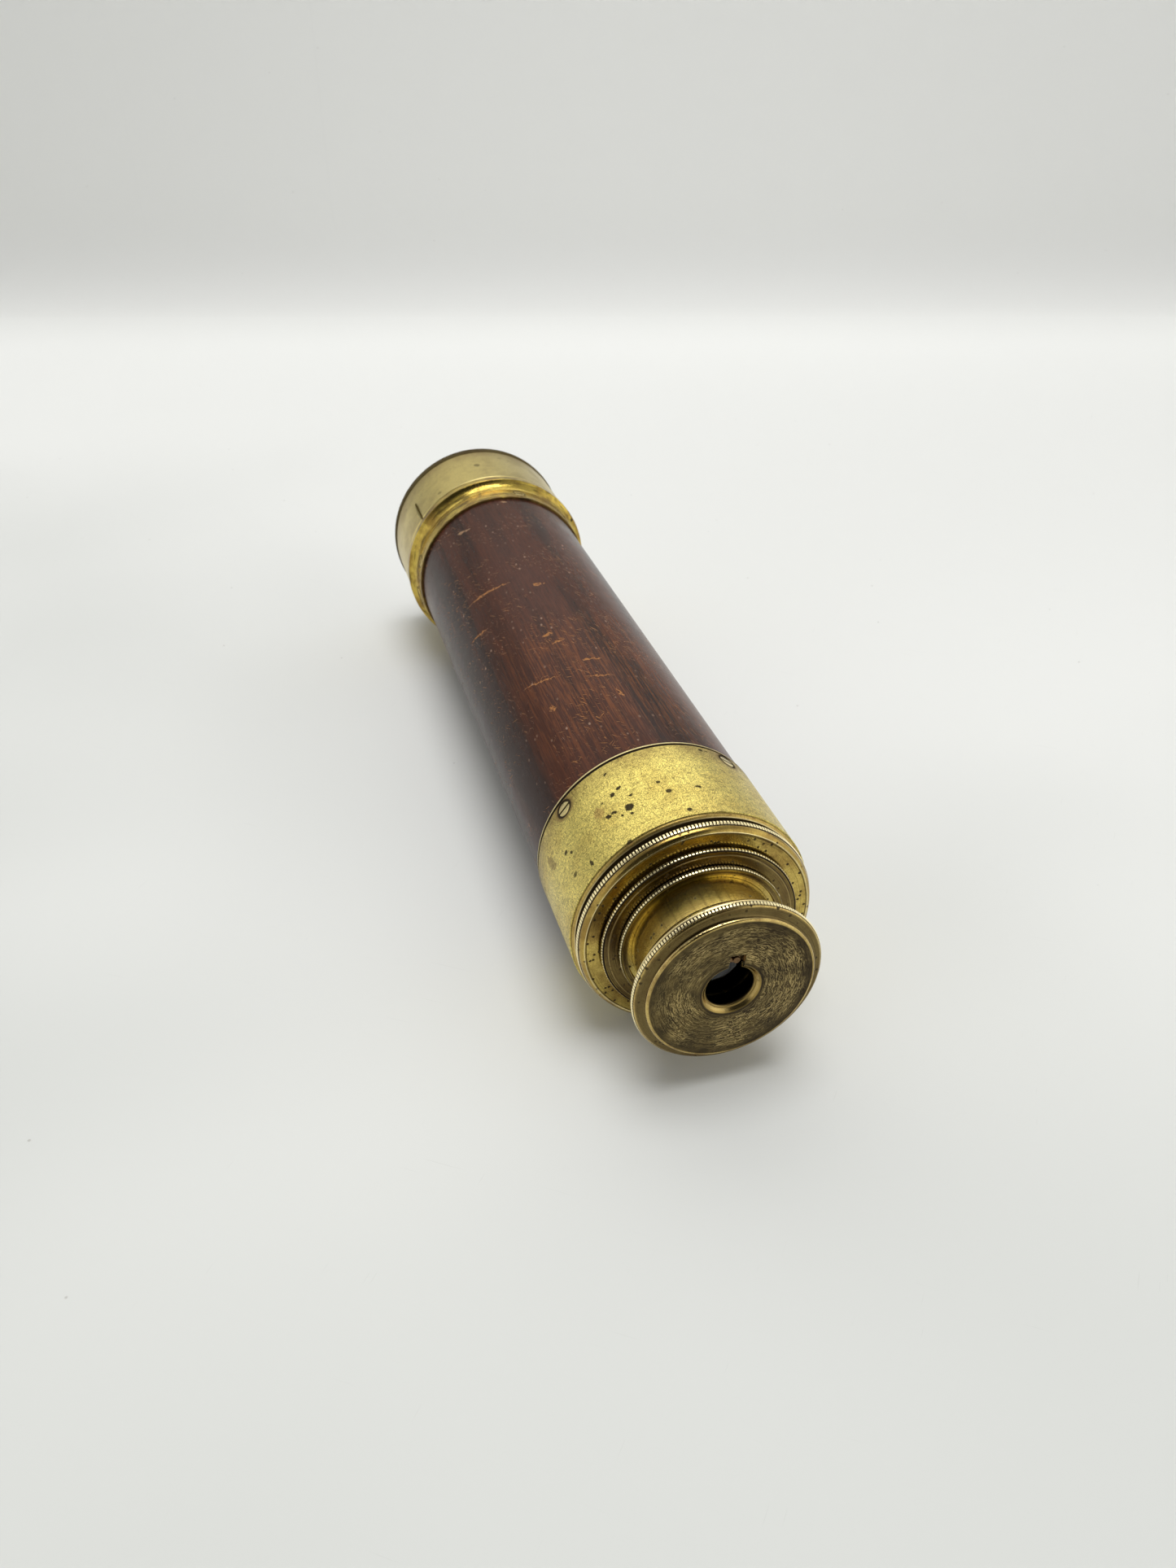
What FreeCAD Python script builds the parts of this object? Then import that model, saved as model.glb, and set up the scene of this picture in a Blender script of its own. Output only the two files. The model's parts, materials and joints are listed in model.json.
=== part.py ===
import FreeCAD, Part
import Sketcher
import math
import os

# A three-draw hand telescope, collapsed, lying along X with the eyepiece towards +X.
# The origin is on the optical axis, in the plane of the eye-end ferrule's shoulder.
# Every length is in mm. Radii are measured from the optical axis.

DIMENSIONS = {
    # play between pieces
    "fixed_gap": 0.02,          # between pieces that are screwed or soldered together
    "slide_gap": 0.05,          # between a draw tube and the sleeve that it runs in
    "face_gap": 0.05,           # between two rings that rest on each other when closed
    "edge": 0.2,                # the small chamfer that softens a turned corner
    # wooden barrel
    "wood_radius": 25.5,
    "wood_bore": 22.0,
    "wood_length": 141.8,       # the part that shows between the ferrules
    "spigot_radius": 25.0,      # turned down under both ferrules
    "front_spigot": 20.1,
    "rear_spigot": 7.9,
    # eye-end ferrule
    "ferrule_radius": 26.0,
    "ferrule_length": 26.3,
    "ferrule_nose": 0.75,
    "nose_step": 0.3,           # from the shoulder down to the nose bead
    "nose_radius": 24.9,
    "nose_curve": 1.2,
    "thread_radius": 24.1,
    "bead_width": 0.7,
    "bead_groove": 0.5,
    "bead_groove_depth": 0.3,
    # objective ferrule
    "socket_radius": 26.2,
    "socket_length": 5.6,
    "cove_length": 3.2,
    "cove_rise": 1.7,
    "cove_curve": 3.86,
    "flange_radius": 28.4,
    "flange_length": 2.5,
    "cell_thread_radius": 25.62,
    # ferrule screws
    "screw_count": 4,
    "screw_head": 1.7,
    "screw_shank": 0.72,
    "screw_sink": 1.0,
    "screw_length": 3.4,
    "screw_ring_gap": 0.12,
    "screw_head_drop": 0.06,    # the flat head sits this far inside the round ferrule
    "slot_width": 0.5,
    "slot_depth": 0.4,
    "eye_screw_place": -22.6,
    "eye_screw_angle": -53.0,
    "objective_screw_place": -171.8,
    "objective_screw_angle": 15.0,
    # knurled collar on the barrel
    "barrel_knurl_radius": 25.4,
    "barrel_knurl_start": 1.75,
    "barrel_knurl_end": 3.3,
    "barrel_knurl_teeth": 213,
    "barrel_ovolo_radius": 24.3,
    "barrel_ovolo_curve": 1.3,
    "barrel_collar_rear": 1.1,
    "barrel_neck_radius": 24.4,     # of the recess behind the knurl
    "barrel_collar_face": 4.4,
    "barrel_lip_width": 0.3,
    "barrel_sleeve_radius": 21.96,
    "barrel_sleeve_rear": -17.0,
    "knurl_depth": 0.42,
    "knurl_share": 0.5,         # of a knurl's pitch, taken up by its groove
    "knurl_swell": 0.3,         # how far a knurled bead stands out between its ends
    # first draw
    "first_radius": 19.4,
    "first_bore": 18.75,
    "first_rear": -170.0,
    "first_knurl_radius": 21.1,
    "first_knurl_teeth": 174,
    "first_collar_length": 1.7,
    "first_neck_length": 0.45,      # the recess behind the knurl
    "first_neck_radius": 20.4,
    "first_step_radius": 19.8,
    "first_face_radius": 19.0,
    "first_sleeve_rear": -11.0,
    # second draw
    "second_radius": 16.9,
    "second_bore": 16.25,
    "second_rear": -166.0,
    "second_knurl_radius": 17.75,
    "second_knurl_teeth": 162,
    "second_collar_length": 1.3,
    "second_lip_radius": 16.2,
    "second_sleeve_rear": -11.0,
    "collar_wall": 0.65,        # brass left in front of a tube's end
    # third draw, shown pulled a little way out
    "third_radius": 15.1,
    "third_bore": 14.5,
    "third_rear": -160.0,
    "third_front": 19.0,
    "stop_ring_length": 4.0,
    "stop_ring_gap": 0.1,
    # eyepiece mount
    "mount_rear": 16.2,
    "mount_bead_radius": 17.3,
    "mount_bead_length": 2.1,
    "mount_bead_curve": 1.3,
    "mount_thread_radius": 16.55,
    "mount_plate_front": 20.25,
    "mount_plate": 0.95,
    "mount_hole": 7.0,
    "mount_skirt_bore": 13.42,
    "mount_skirt_rear": 8.0,
    # eye cap
    "cap_face": 22.7,
    "cap_face_radius": 17.45,
    "cap_rim_curve": 0.5,
    "cap_plate": 1.35,
    "cap_bore": 16.6,
    "cap_rear": 18.45,
    "cap_knurl_radius": 19.7,
    "cap_knurl_start": 19.75,
    "cap_knurl_end": 20.95,
    "cap_neck_radius": 18.75,       # of the plain part behind the knurl
    "cap_ridge_gap": 0.25,
    "cap_ridge_curve": 0.65,        # a half-round ridge on that plain part
    "cap_knurl_teeth": 174,
    "cap_shoulder": 0.35,       # length of the rounded shoulder in front of the knurl
    "cap_shoulder_curve": 0.7,
    "cap_cove_radius": 18.75,
    "cap_cove_curve": 2.2,
    "cap_groove_depth": 0.35,
    "eye_hole": 5.0,
    "eye_sink": 6.1,
    "eye_sink_depth": 1.1,
    "notch_width": 3.2,
    "notch_reach": 8.7,
    "notch_angle": 5.0,
    # swinging shutter inside the eye cap
    "shutter_radius": 5.3,
    "shutter_plate": 0.6,
    "shutter_rear": 20.3,
    "shutter_pivot_side": 11.5,
    "shutter_pivot_up": 5.4,
    "shutter_boss": 2.2,
    "shutter_arm": 3.6,
    "nib_radius": 0.7,
    "nib_up": 7.2,
    "nib_front": 22.3,
    "pivot_radius": 0.95,
    "pivot_head": 1.8,
    "pivot_head_length": 0.3,
    # eyepiece and erector
    "eyepiece_radius": 13.4,
    "eyepiece_bore": 12.8,
    "eyepiece_front": 19.2,
    "eyepiece_rear": -38.0,
    "erector_radius": 14.47,
    "erector_bore": 13.6,
    "erector_front": -112.0,
    "erector_rear": -157.0,
    "erector_stop_hole": 1.5,
    "erector_stop_length": 0.8,
    "cell_length": 4.5,
    "cell_ledge": 1.0,
    "cell_ledge_width": 1.2,
    "lens_edge": 0.8,
    "eye_lens_radius": 9.5,
    "eye_lens_curve": 26.0,
    "field_lens_radius": 11.0,
    "field_lens_curve": 32.0,
    "erector_lens_radius": 10.0,
    "erector_lens_curve": 34.0,
    # objective
    "cell_radius": 27.17,
    "cell_spigot_radius": 25.58,
    "objective_cell_length": 24.0,
    "objective_radius": 22.58,
    "objective_pocket": 22.62,
    "objective_ledge": 21.0,
    "objective_seat": 4.55,     # from the flange to the ledge that the lenses rest on
    "objective_curve": 90.0,
    "flint_thickness": 2.2,
    "crown_thickness": 6.7,
    "retainer_bore": 21.3,
    "retainer_length": 3.0,
    # slip-on objective cap
    "slip_gap": 0.03,
    "skirt_radius": 27.95,
    "skirt_gap": 1.5,           # between the flange and the cap's open edge
    "skirt_length": 22.4,
    "rim_radius": 28.3,
    "rim_length": 3.0,
    "rim_teeth": 237,
    "rim_depth": 0.3,
    "rim_swell": 0.25,
    "dome_length": 0.7,
    "dome_radius": 27.2,
    "end_plate": 1.4,
    "end_line_radius": 23.0,
    "end_line_width": 0.5,
    "end_line_depth": 0.2,
    "slit_width": 0.7,
    "slit_length": 12.1,
    "slit_angle": -53.0,
}


class Size:
    """A length, with the spreadsheet expression that gives it."""

    def __init__(self, value, text):
        self.value = value
        self.text = text

    def __add__(self, other):
        other = size(other)
        return Size(self.value + other.value, "(%s + %s)" % (self.text, other.text))

    def __radd__(self, other):
        return size(other) + self

    def __sub__(self, other):
        return self + (-size(other))

    def __rsub__(self, other):
        return size(other) - self

    def __neg__(self):
        return Size(-self.value, "(-1 * %s)" % self.text)

    def __mul__(self, other):
        other = size(other)
        return Size(self.value * other.value, "(%s * %s)" % (self.text, other.text))

    def __truediv__(self, other):
        other = size(other)
        return Size(self.value / other.value, "(%s / %s)" % (self.text, other.text))


def size(value):
    """Wraps a plain number, and leaves a Size as it is."""
    return value if isinstance(value, Size) else Size(float(value), repr(float(value)))


def root(value):
    """The square root of a Size."""
    return Size(math.sqrt(value.value), "sqrt(%s)" % value.text)


def sagitta(curve, radius):
    """How deep a spherical surface of radius `curve` is at `radius` from its axis."""
    return curve - root(curve * curve - radius * radius)


def make_sheet(document):
    """Fills the sheet with the driving dimensions and returns them as Size values."""
    sheet = document.addObject("Spreadsheet::Sheet", "dims")
    sizes = {}
    for row, (name, value) in enumerate(DIMENSIONS.items(), start=1):
        sheet.set("A%d" % row, name)
        sheet.set("B%d" % row, str(value))
        sheet.setAlias("B%d" % row, name)
        sizes[name] = Size(value, "dims.%s" % name)
    document.recompute()
    return sizes


doc = FreeCAD.newDocument("telescope")
D = make_sheet(doc)
NODES = []


# ---------------------------------------------------------------- drawing helpers

def new_body(label):
    """Starts a sub-part: its label is its node's name."""
    body = doc.addObject("PartDesign::Body", label)
    body.Label = label
    body.AllowCompound = True
    NODES.append(body)
    return body


def origin_part(body, role):
    """The body's own origin plane or axis with that role."""
    for feature in body.Origin.OriginFeatures:
        if feature.Role == role:
            return feature
    raise ValueError(role)


def attach(feature, body, plane):
    """Lays a sketch or primitive on one of its body's origin planes."""
    feature.AttachmentSupport = [(origin_part(body, plane), "")]
    feature.MapMode = "FlatFace"


def bind(feature, name, value):
    """Sets a property from the sheet."""
    feature.setExpression(name, value.text)


def arc_between(start, end, curve):
    """An arc of radius `curve`; positive swells to the right of the way from start to end.

    A sketch reads every arc anticlockwise, so a hollow one is drawn from its far end.
    """
    if curve < 0:
        start, end, curve = end, start, -curve
    chord = math.dist(start, end)
    side = (curve - math.sqrt(curve * curve - chord * chord / 4)) / chord
    middle_x = (start[0] + end[0]) / 2 + (end[1] - start[1]) * side
    middle_y = (start[1] + end[1]) / 2 - (end[0] - start[0]) * side
    points = [start, (middle_x, middle_y), end]
    return Part.Arc(*[FreeCAD.Vector(x, y, 0) for x, y in points])


def add_edge(sketch, start, end, curve):
    """Adds one side of an outline; returns its number and which of its ends comes first."""
    if curve is None:
        line = Part.LineSegment(FreeCAD.Vector(*start, 0), FreeCAD.Vector(*end, 0))
        return sketch.addGeometry(line, False), 1
    number = sketch.addGeometry(arc_between(start, end, curve.value), False)
    limit = sketch.addConstraint(Sketcher.Constraint("Radius", number, abs(curve.value)))
    bind(sketch, "Constraints[%d]" % limit, curve if curve.value > 0 else -curve)
    return number, 1 if curve.value > 0 else 2


def place_corner(sketch, number, end, across, up):
    """Ties a corner to the sketch's origin in both directions."""
    for kind, axis, value in (("DistanceX", -2, across), ("DistanceY", -1, up)):
        if abs(value.value) < 1e-9:
            sketch.addConstraint(Sketcher.Constraint("PointOnObject", number, end, axis))
            continue
        limit = sketch.addConstraint(Sketcher.Constraint(kind, -1, 1, number, end, value.value))
        bind(sketch, "Constraints[%d]" % limit, value)


def outline(sketch, corners):
    """A closed outline. A corner is (across, up), or (across, up, radius of the arc to the next).

    Corners run anticlockwise, so a positive arc is convex and a negative one is hollow.
    """
    corners = [tuple(size(value) for value in corner) for corner in corners]
    sides = []
    for corner, following in zip(corners, corners[1:] + corners[:1]):
        start = (corner[0].value, corner[1].value)
        end = (following[0].value, following[1].value)
        curve = corner[2] if len(corner) > 2 else None
        sides.append(add_edge(sketch, start, end, curve))
    for (number, first), (next_number, next_first) in zip(sides, sides[1:] + sides[:1]):
        joined = Sketcher.Constraint("Coincident", number, 3 - first, next_number, next_first)
        sketch.addConstraint(joined)
    for (number, first), corner in zip(sides, corners):
        place_corner(sketch, number, first, corner[0], corner[1])


def turned(label, corners):
    """A piece turned on the optical axis; the outline is (place along X, radius)."""
    body = new_body(label)
    sketch = body.newObject("Sketcher::SketchObject", label + "_profile")
    attach(sketch, body, "XZ_Plane")
    outline(sketch, corners)
    turn = body.newObject("PartDesign::Revolution", label + "_turned")
    turn.Profile = sketch
    turn.ReferenceAxis = (sketch, ["H_Axis"])
    turn.Angle = 360
    doc.recompute()
    return body


def tube(label, rear, front, bore, radius):
    """A plain tube with softened outer edges."""
    edge = D["edge"]
    return turned(label, [
        (front, bore),
        (front, radius - edge),
        (front - edge, radius),
        (rear + edge, radius),
        (rear, radius - edge),
        (rear, bore),
    ])


def around(body, features, count):
    """Repeats features evenly round the optical axis."""
    pattern = body.newObject("PartDesign::PolarPattern", features[0].Name + "_round")
    pattern.Originals = features
    pattern.Axis = (origin_part(body, "X_Axis"), [""])
    pattern.Angle = 360
    bind(pattern, "Occurrences", count)
    body.Tip = pattern
    doc.recompute()
    return pattern


def cut_checked(body, volume_before):
    """Stops if a cut took nothing away."""
    if body.Shape.Volume >= volume_before - 1e-6:
        raise RuntimeError(body.Label + ": a cut missed the solid")


def knurl(body, crest, rear, front, teeth, depth):
    """Cuts V grooves along X round a rim."""
    before = body.Shape.Volume
    half_width = crest * (2 * math.pi) / teeth * D["knurl_share"]
    sketch = body.newObject("Sketcher::SketchObject", body.Name + "_groove")
    attach(sketch, body, "YZ_Plane")
    bind(sketch, "AttachmentOffset.Base.z", rear)
    outline(sketch, [
        (size(0), crest - depth),
        (half_width, crest + depth),
        (-half_width, crest + depth),
    ])
    groove = body.newObject("PartDesign::Pocket", body.Name + "_groove_cut")
    groove.Profile = sketch
    groove.Type = 0
    groove.Reversed = True
    bind(groove, "Length", front - rear)
    doc.recompute()
    cut_checked(body, before)
    around(body, [groove], teeth)


def stand(feature, body, place, height, angle):
    """Stands a round primitive on the X axis's side: along the radius at `angle` from +Z."""
    attach(feature, body, "XY_Plane")
    tilt = FreeCAD.Rotation(FreeCAD.Vector(1, 0, 0), -angle.value)
    foot = tilt.multVec(FreeCAD.Vector(0, 0, height.value))
    feature.AttachmentOffset = FreeCAD.Placement(foot, tilt)
    bind(feature, "AttachmentOffset.Base.x", place)
    turn = "(%s * 1 deg)" % angle.text
    feature.setExpression("AttachmentOffset.Base.y", "%s * sin(%s)" % (height.text, turn))
    feature.setExpression("AttachmentOffset.Base.z", "%s * cos(%s)" % (height.text, turn))


# ---------------------------------------------------------------- ferrule screws

def screw_top(surface):
    """Height of a flat screw head let into a ferrule of that radius."""
    return surface - D["screw_head_drop"]


def sink_screws(body, surface, place, angle, wall):
    """Countersunk clearance holes through a ferrule, cut upright before it is turned."""
    before = body.Shape.Volume
    upright = size(0)
    top = screw_top(surface)
    clear = D["screw_ring_gap"]
    sink = body.newObject("PartDesign::SubtractiveCone", body.Name + "_sink")
    bind(sink, "Radius1", D["screw_shank"] + clear)
    bind(sink, "Radius2", D["screw_head"] + clear)
    bind(sink, "Height", D["screw_sink"])
    stand(sink, body, place, top - D["screw_sink"], upright)
    mouth = body.newObject("PartDesign::SubtractiveCylinder", body.Name + "_mouth")
    bind(mouth, "Radius", D["screw_head"] + clear)
    bind(mouth, "Height", D["screw_sink"])
    stand(mouth, body, place, top - D["fixed_gap"], upright)
    hole = body.newObject("PartDesign::SubtractiveCylinder", body.Name + "_hole")
    bind(hole, "Radius", D["screw_shank"] + D["fixed_gap"])
    bind(hole, "Height", wall)
    stand(hole, body, place, surface - wall, upright)
    doc.recompute()
    cut_checked(body, before)
    around(body, [sink, mouth, hole], D["screw_count"])
    turn_to(body, angle)


def pilot_holes(body, surface, place, angle):
    """Blind holes in the wood for one ring of screws."""
    before = body.Shape.Volume
    deep = D["screw_length"] + D["slide_gap"]
    hole = body.newObject("PartDesign::SubtractiveCylinder", body.Name + "_pilot")
    bind(hole, "Radius", D["screw_shank"] + D["fixed_gap"])
    bind(hole, "Height", deep)
    stand(hole, body, place, screw_top(surface) - deep, angle)
    doc.recompute()
    cut_checked(body, before)
    around(body, [hole], D["screw_count"])


def screws(label, surface, place, angle):
    """One ring of slotted wood screws; each slot lies across the barrel."""
    body = new_body(label)
    top = screw_top(surface)
    upright = size(0)
    shank = body.newObject("PartDesign::AdditiveCylinder", label + "_shank")
    bind(shank, "Radius", D["screw_shank"])
    bind(shank, "Height", D["screw_length"] - D["screw_sink"] / 2)
    stand(shank, body, place, top - D["screw_length"], upright)
    head = body.newObject("PartDesign::AdditiveCone", label + "_head")
    bind(head, "Radius1", D["screw_shank"])
    bind(head, "Radius2", D["screw_head"])
    bind(head, "Height", D["screw_sink"])
    stand(head, body, place, top - D["screw_sink"], upright)
    doc.recompute()
    before = body.Shape.Volume
    slot = body.newObject("PartDesign::SubtractiveBox", label + "_slot")
    bind(slot, "Length", D["slot_width"])
    bind(slot, "Width", D["screw_head"] * 3)
    bind(slot, "Height", D["slot_depth"] * 2)
    attach(slot, body, "XY_Plane")
    bind(slot, "AttachmentOffset.Base.x", place - D["slot_width"] / 2)
    bind(slot, "AttachmentOffset.Base.y", D["screw_head"] * -1.5)
    bind(slot, "AttachmentOffset.Base.z", top - D["slot_depth"])
    doc.recompute()
    cut_checked(body, before)
    around(body, [shank, head, slot], D["screw_count"])
    turn_to(body, angle)


def turn_to(body, angle):
    """Turns a finished sub-part about the optical axis, from +Z towards +Y."""
    body.Placement = FreeCAD.Placement(
        FreeCAD.Vector(0, 0, 0), FreeCAD.Rotation(FreeCAD.Vector(-1, 0, 0), angle.value))
    doc.recompute()


# ---------------------------------------------------------------- barrel

def wood_front():
    """Where the wood ends inside the eye-end ferrule."""
    return D["front_spigot"] - D["ferrule_length"]


def shoulder():
    """Where the exposed wood meets the objective ferrule."""
    return -D["ferrule_length"] - D["wood_length"]


def flange_face():
    """The objective ferrule's front face."""
    return shoulder() - D["socket_length"] - D["cove_length"] - D["flange_length"]


def make_wood_barrel():
    spigot = D["spigot_radius"] - D["fixed_gap"]
    body = turned("wood_barrel", [
        (wood_front(), D["wood_bore"]),
        (wood_front(), spigot),
        (-D["ferrule_length"], spigot),
        (-D["ferrule_length"], D["wood_radius"]),
        (shoulder(), D["wood_radius"]),
        (shoulder(), spigot),
        (shoulder() - D["rear_spigot"], spigot),
        (shoulder() - D["rear_spigot"], D["wood_bore"]),
    ])
    pilot_holes(body, D["ferrule_radius"], D["eye_screw_place"], D["eye_screw_angle"])
    pilot_holes(
        body, D["socket_radius"], D["objective_screw_place"], D["objective_screw_angle"])


def make_eye_end_ferrule():
    radius = D["ferrule_radius"]
    rear = -D["ferrule_length"]
    groove_front = rear + D["bead_width"] + D["bead_groove"]
    groove_floor = radius - D["bead_groove_depth"]
    inner_shoulder = wood_front() + D["face_gap"]
    body = turned("eye_end_ferrule", [
        (D["ferrule_nose"], D["thread_radius"]),
        (D["ferrule_nose"], D["nose_radius"], D["nose_curve"]),
        (D["edge"] / 2, radius - D["nose_step"]),
        (size(0), radius - D["nose_step"]),
        (size(0), radius - D["edge"] / 2),
        (-D["edge"] / 2, radius),
        (groove_front, radius),
        (groove_front - D["edge"] / 2, groove_floor),
        (rear + D["bead_width"], groove_floor),
        (rear + D["bead_width"], radius - D["edge"] / 2, D["bead_width"]),
        (rear, radius - D["edge"]),
        (rear, D["spigot_radius"]),
        (inner_shoulder, D["spigot_radius"]),
        (inner_shoulder, D["thread_radius"]),
    ])
    wall = radius - D["spigot_radius"] + D["edge"]
    sink_screws(body, radius, D["eye_screw_place"], D["eye_screw_angle"], wall)
    screws("eye_end_ferrule_screws", radius, D["eye_screw_place"], D["eye_screw_angle"])


def make_objective_ferrule():
    radius = D["socket_radius"]
    front = shoulder() - D["fixed_gap"]
    cove = shoulder() - D["socket_length"]
    fillet = cove - D["cove_length"]
    face = flange_face()
    edge = D["edge"]
    step = shoulder() - D["rear_spigot"] - D["face_gap"]
    body = turned("objective_ferrule", [
        (front, D["spigot_radius"]),
        (front, radius - edge),
        (front - edge, radius),
        (cove, radius, -D["cove_curve"]),
        (fillet, radius + D["cove_rise"]),
        (fillet - edge, D["flange_radius"] - edge),
        (fillet - edge * 2, D["flange_radius"]),
        (face + edge, D["flange_radius"]),
        (face, D["flange_radius"] - edge),
        (face, D["cell_thread_radius"]),
        (step, D["cell_thread_radius"]),
        (step, D["spigot_radius"]),
    ])
    wall = radius - D["spigot_radius"] + edge
    place = D["objective_screw_place"]
    sink_screws(body, radius, place, D["objective_screw_angle"], wall)
    screws("objective_ferrule_screws", radius, place, D["objective_screw_angle"])


def make_barrel_collar():
    face = D["barrel_collar_face"]
    crest = D["barrel_knurl_radius"]
    swell = D["knurl_swell"]
    half = (D["barrel_knurl_end"] - D["barrel_knurl_start"]) / 2
    bead_curve = (half * half + swell * swell) / (swell * 2)
    inner = D["barrel_sleeve_radius"] + D["fixed_gap"]
    lip = D["barrel_ovolo_radius"]
    thread = D["thread_radius"] - D["face_gap"]
    seat = D["barrel_collar_rear"] + D["edge"]
    body = turned("barrel_collar", [
        (face, D["first_radius"] + D["slide_gap"]),
        (face, lip - D["barrel_lip_width"]),
        (face + D["edge"] / 2, lip - D["barrel_lip_width"] / 2),
        (face, lip, D["barrel_ovolo_curve"]),
        (D["barrel_knurl_end"], crest - swell, bead_curve),
        (D["barrel_knurl_start"], crest - swell),
        (D["barrel_knurl_start"], D["barrel_neck_radius"]),
        (D["barrel_collar_rear"], D["barrel_neck_radius"]),
        (D["barrel_collar_rear"], thread),
        (wood_front() + D["edge"], thread),
        (wood_front() + D["edge"], inner),
        (seat, inner),
        (seat, D["first_radius"] + D["slide_gap"]),
    ])
    knurl(body, crest, D["barrel_knurl_start"] - D["edge"], D["barrel_knurl_end"] + D["edge"],
          D["barrel_knurl_teeth"], D["knurl_depth"])
    tube("barrel_guide_sleeve", D["barrel_sleeve_rear"], seat - D["fixed_gap"],
         D["first_radius"] + D["slide_gap"], D["barrel_sleeve_radius"])


# ---------------------------------------------------------------- first and second draws

def first_collar_front():
    return D["barrel_collar_face"] + D["face_gap"] + D["first_collar_length"]


def second_collar_front():
    return first_collar_front() + D["face_gap"] + D["second_collar_length"]


def make_first_draw():
    rear = D["barrel_collar_face"] + D["face_gap"]
    front = first_collar_front()
    crest = D["first_knurl_radius"]
    swell = D["knurl_swell"]
    edge = D["edge"]
    start = rear + D["first_neck_length"]
    half = (front - edge - start) / 2
    bead_curve = (half * half + swell * swell) / (swell * 2)
    tube_front = front - D["collar_wall"]
    tube("first_draw_tube", D["first_rear"], tube_front - D["fixed_gap"],
         D["first_bore"], D["first_radius"])
    body = turned("first_draw_collar", [
        (front, D["second_radius"] + D["slide_gap"]),
        (front, D["first_face_radius"] - edge),
        (front + edge / 4, D["first_face_radius"]),
        (front, D["first_step_radius"]),
        (front - edge, D["first_step_radius"] + edge / 2),
        (front - edge, crest - swell, bead_curve),
        (start, crest - swell),
        (start, D["first_neck_radius"]),
        (rear, D["first_neck_radius"]),
        (rear, D["first_radius"] + D["fixed_gap"]),
        (tube_front, D["first_radius"] + D["fixed_gap"]),
        (tube_front, D["second_radius"] + D["slide_gap"]),
    ])
    knurl(body, crest, start - edge, front, D["first_knurl_teeth"], D["knurl_depth"])
    tube("first_draw_guide_sleeve", D["first_sleeve_rear"], tube_front - D["fixed_gap"],
         D["second_radius"] + D["slide_gap"], D["first_bore"] - D["fixed_gap"])
    stop_ring("first_draw_stop_ring", D["first_rear"], D["first_radius"], D["wood_bore"])


def make_second_draw():
    rear = first_collar_front() + D["face_gap"]
    front = second_collar_front()
    crest = D["second_knurl_radius"]
    swell = D["knurl_swell"]
    edge = D["edge"]
    half = D["second_collar_length"] / 2
    bead_curve = (half * half + swell * swell) / (swell * 2)
    tube_front = front - D["collar_wall"]
    tube("second_draw_tube", D["second_rear"], tube_front - D["fixed_gap"],
         D["second_bore"], D["second_radius"])
    body = turned("second_draw_collar", [
        (front, D["second_lip_radius"]),
        (front, crest - swell, bead_curve),
        (rear, crest - swell),
        (rear, D["second_radius"] + D["fixed_gap"]),
        (tube_front, D["second_radius"] + D["fixed_gap"]),
        (tube_front, D["second_lip_radius"]),
    ])
    knurl(body, crest, rear - edge, front + edge, D["second_knurl_teeth"], D["knurl_depth"])
    tube("second_draw_guide_sleeve", D["second_sleeve_rear"], tube_front - D["fixed_gap"],
         D["third_radius"] + D["slide_gap"], D["second_bore"] - D["fixed_gap"])
    stop_ring("second_draw_stop_ring", D["second_rear"], D["second_radius"], D["first_bore"])


def stop_ring(label, rear, inner, outer):
    """The ring at a draw tube's inner end that keeps it from pulling out."""
    tube(label, rear, rear + D["stop_ring_length"],
         inner + D["fixed_gap"], outer - D["stop_ring_gap"])


# ---------------------------------------------------------------- eyepiece

def make_third_draw():
    tube("third_draw_tube", D["third_rear"], D["third_front"], D["third_bore"],
         D["third_radius"])
    stop_ring("third_draw_stop_ring", D["third_rear"], D["third_radius"], D["second_bore"])


def make_eyepiece_mount():
    gap = D["fixed_gap"]
    edge = D["edge"]
    plate_front = D["mount_plate_front"]
    plate_rear = plate_front - D["mount_plate"]
    rear = D["mount_rear"]
    bead_front = rear + D["mount_bead_length"]
    foot = D["mount_bead_radius"] - edge * 2
    body = turned("eyepiece_mount", [
        (plate_front, D["mount_hole"]),
        (plate_front, D["mount_thread_radius"]),
        (bead_front, D["mount_thread_radius"]),
        (bead_front, foot, D["mount_bead_curve"]),
        (rear, foot),
        (rear, D["third_radius"] + gap),
        (D["third_front"] + gap, D["third_radius"] + gap),
        (D["third_front"] + gap, D["third_bore"] - gap),
        (D["mount_skirt_rear"], D["third_bore"] - gap),
        (D["mount_skirt_rear"], D["mount_skirt_bore"]),
        (plate_rear, D["mount_skirt_bore"]),
        (plate_rear, D["mount_hole"]),
    ])
    before = body.Shape.Volume
    hole = body.newObject("PartDesign::SubtractiveCylinder", "mount_pivot_hole")
    lay_along_x(hole, body, plate_rear - edge, D["shutter_pivot_side"], D["shutter_pivot_up"])
    bind(hole, "Radius", D["pivot_radius"])
    bind(hole, "Height", D["mount_plate"] + edge * 2)
    doc.recompute()
    cut_checked(body, before)
    turn_to(body, D["notch_angle"])


def lay_along_x(feature, body, place, side, up):
    """Lays a round primitive along X, `side` to +Y and `up` above the optical axis."""
    attach(feature, body, "YZ_Plane")
    bind(feature, "AttachmentOffset.Base.x", side)
    bind(feature, "AttachmentOffset.Base.y", up)
    bind(feature, "AttachmentOffset.Base.z", place)


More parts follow.
